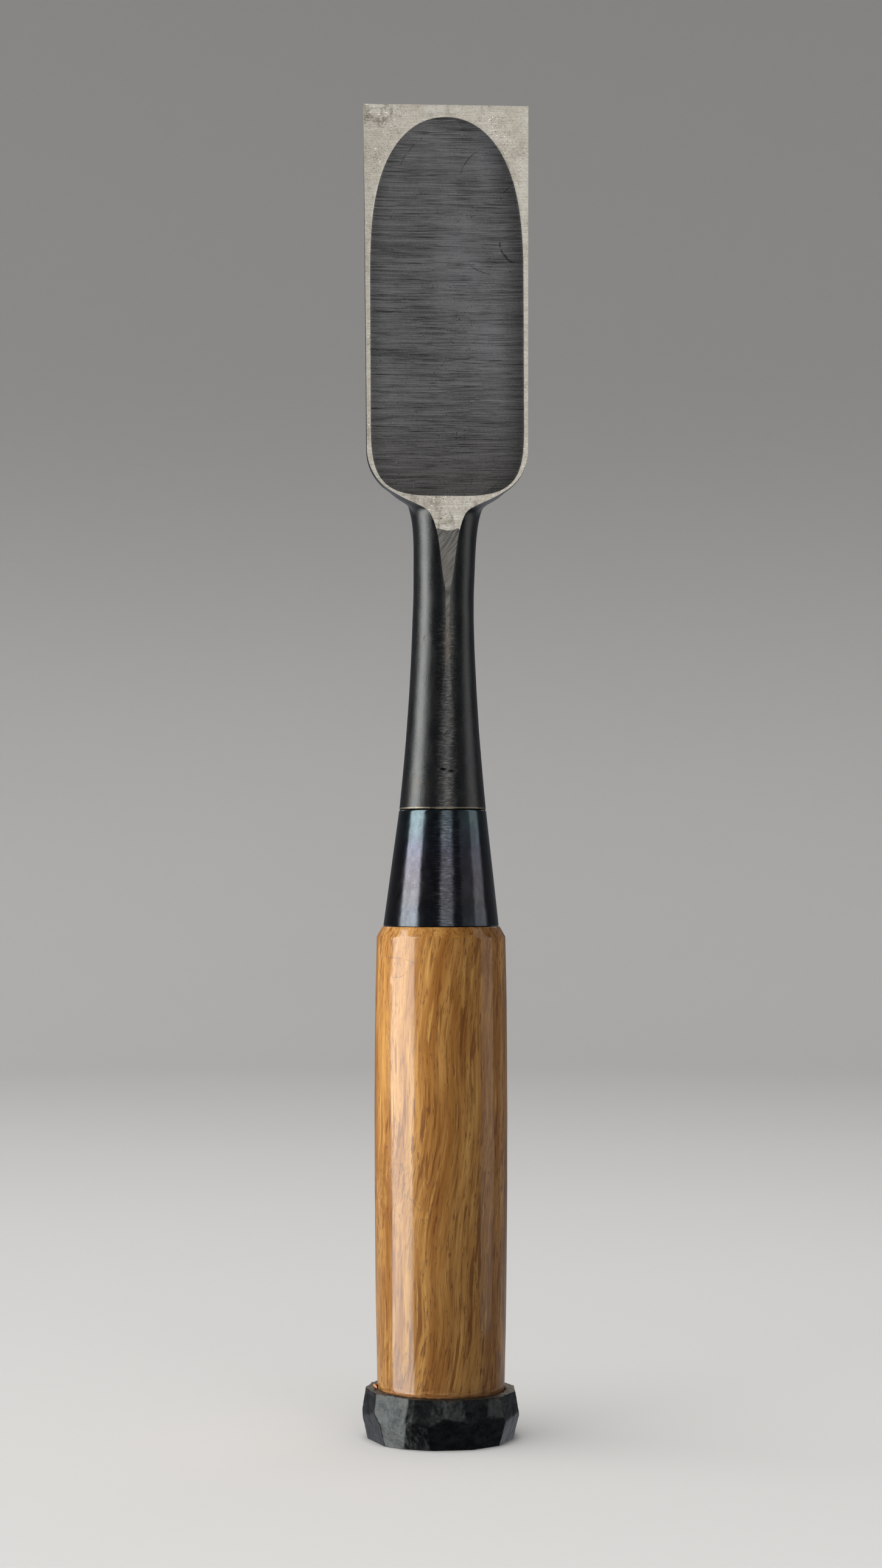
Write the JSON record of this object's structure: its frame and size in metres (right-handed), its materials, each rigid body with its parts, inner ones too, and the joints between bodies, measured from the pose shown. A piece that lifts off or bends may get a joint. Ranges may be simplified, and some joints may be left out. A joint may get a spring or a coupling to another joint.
{
  "type": "wood chisel",
  "caption": "Struck bench chisel with a hollow-ground flat back, round neck, conical steel ferrule, turned oak handle and a hammered iron hoop.",
  "frame": {"origin": "centre of the struck end of the handle, on the handle's axis", "axes": "+Z along the handle's axis towards the cutting edge, -Y out of the blade's flat back, X across the blade"},
  "size_m": [0.03, 0.029, 0.2442],
  "materials": {
    "hard_steel": "lapped bright on the flat land, fine cross-ground and dark in the hollow",
    "soft_iron": "dark satin forge scale, worn brighter on edges",
    "blued_steel": "polished and heat-blued",
    "oak": "clear gloss lacquer over straight-grained oak",
    "black_iron": "hammered, black oxide"
  },
  "bodies": {
    "root": {"cutting_steel": "hard_steel", "iron_body": "soft_iron", "ferrule": "blued_steel", "handle": "oak", "hoop": "black_iron"}
  },
  "joints": []
}
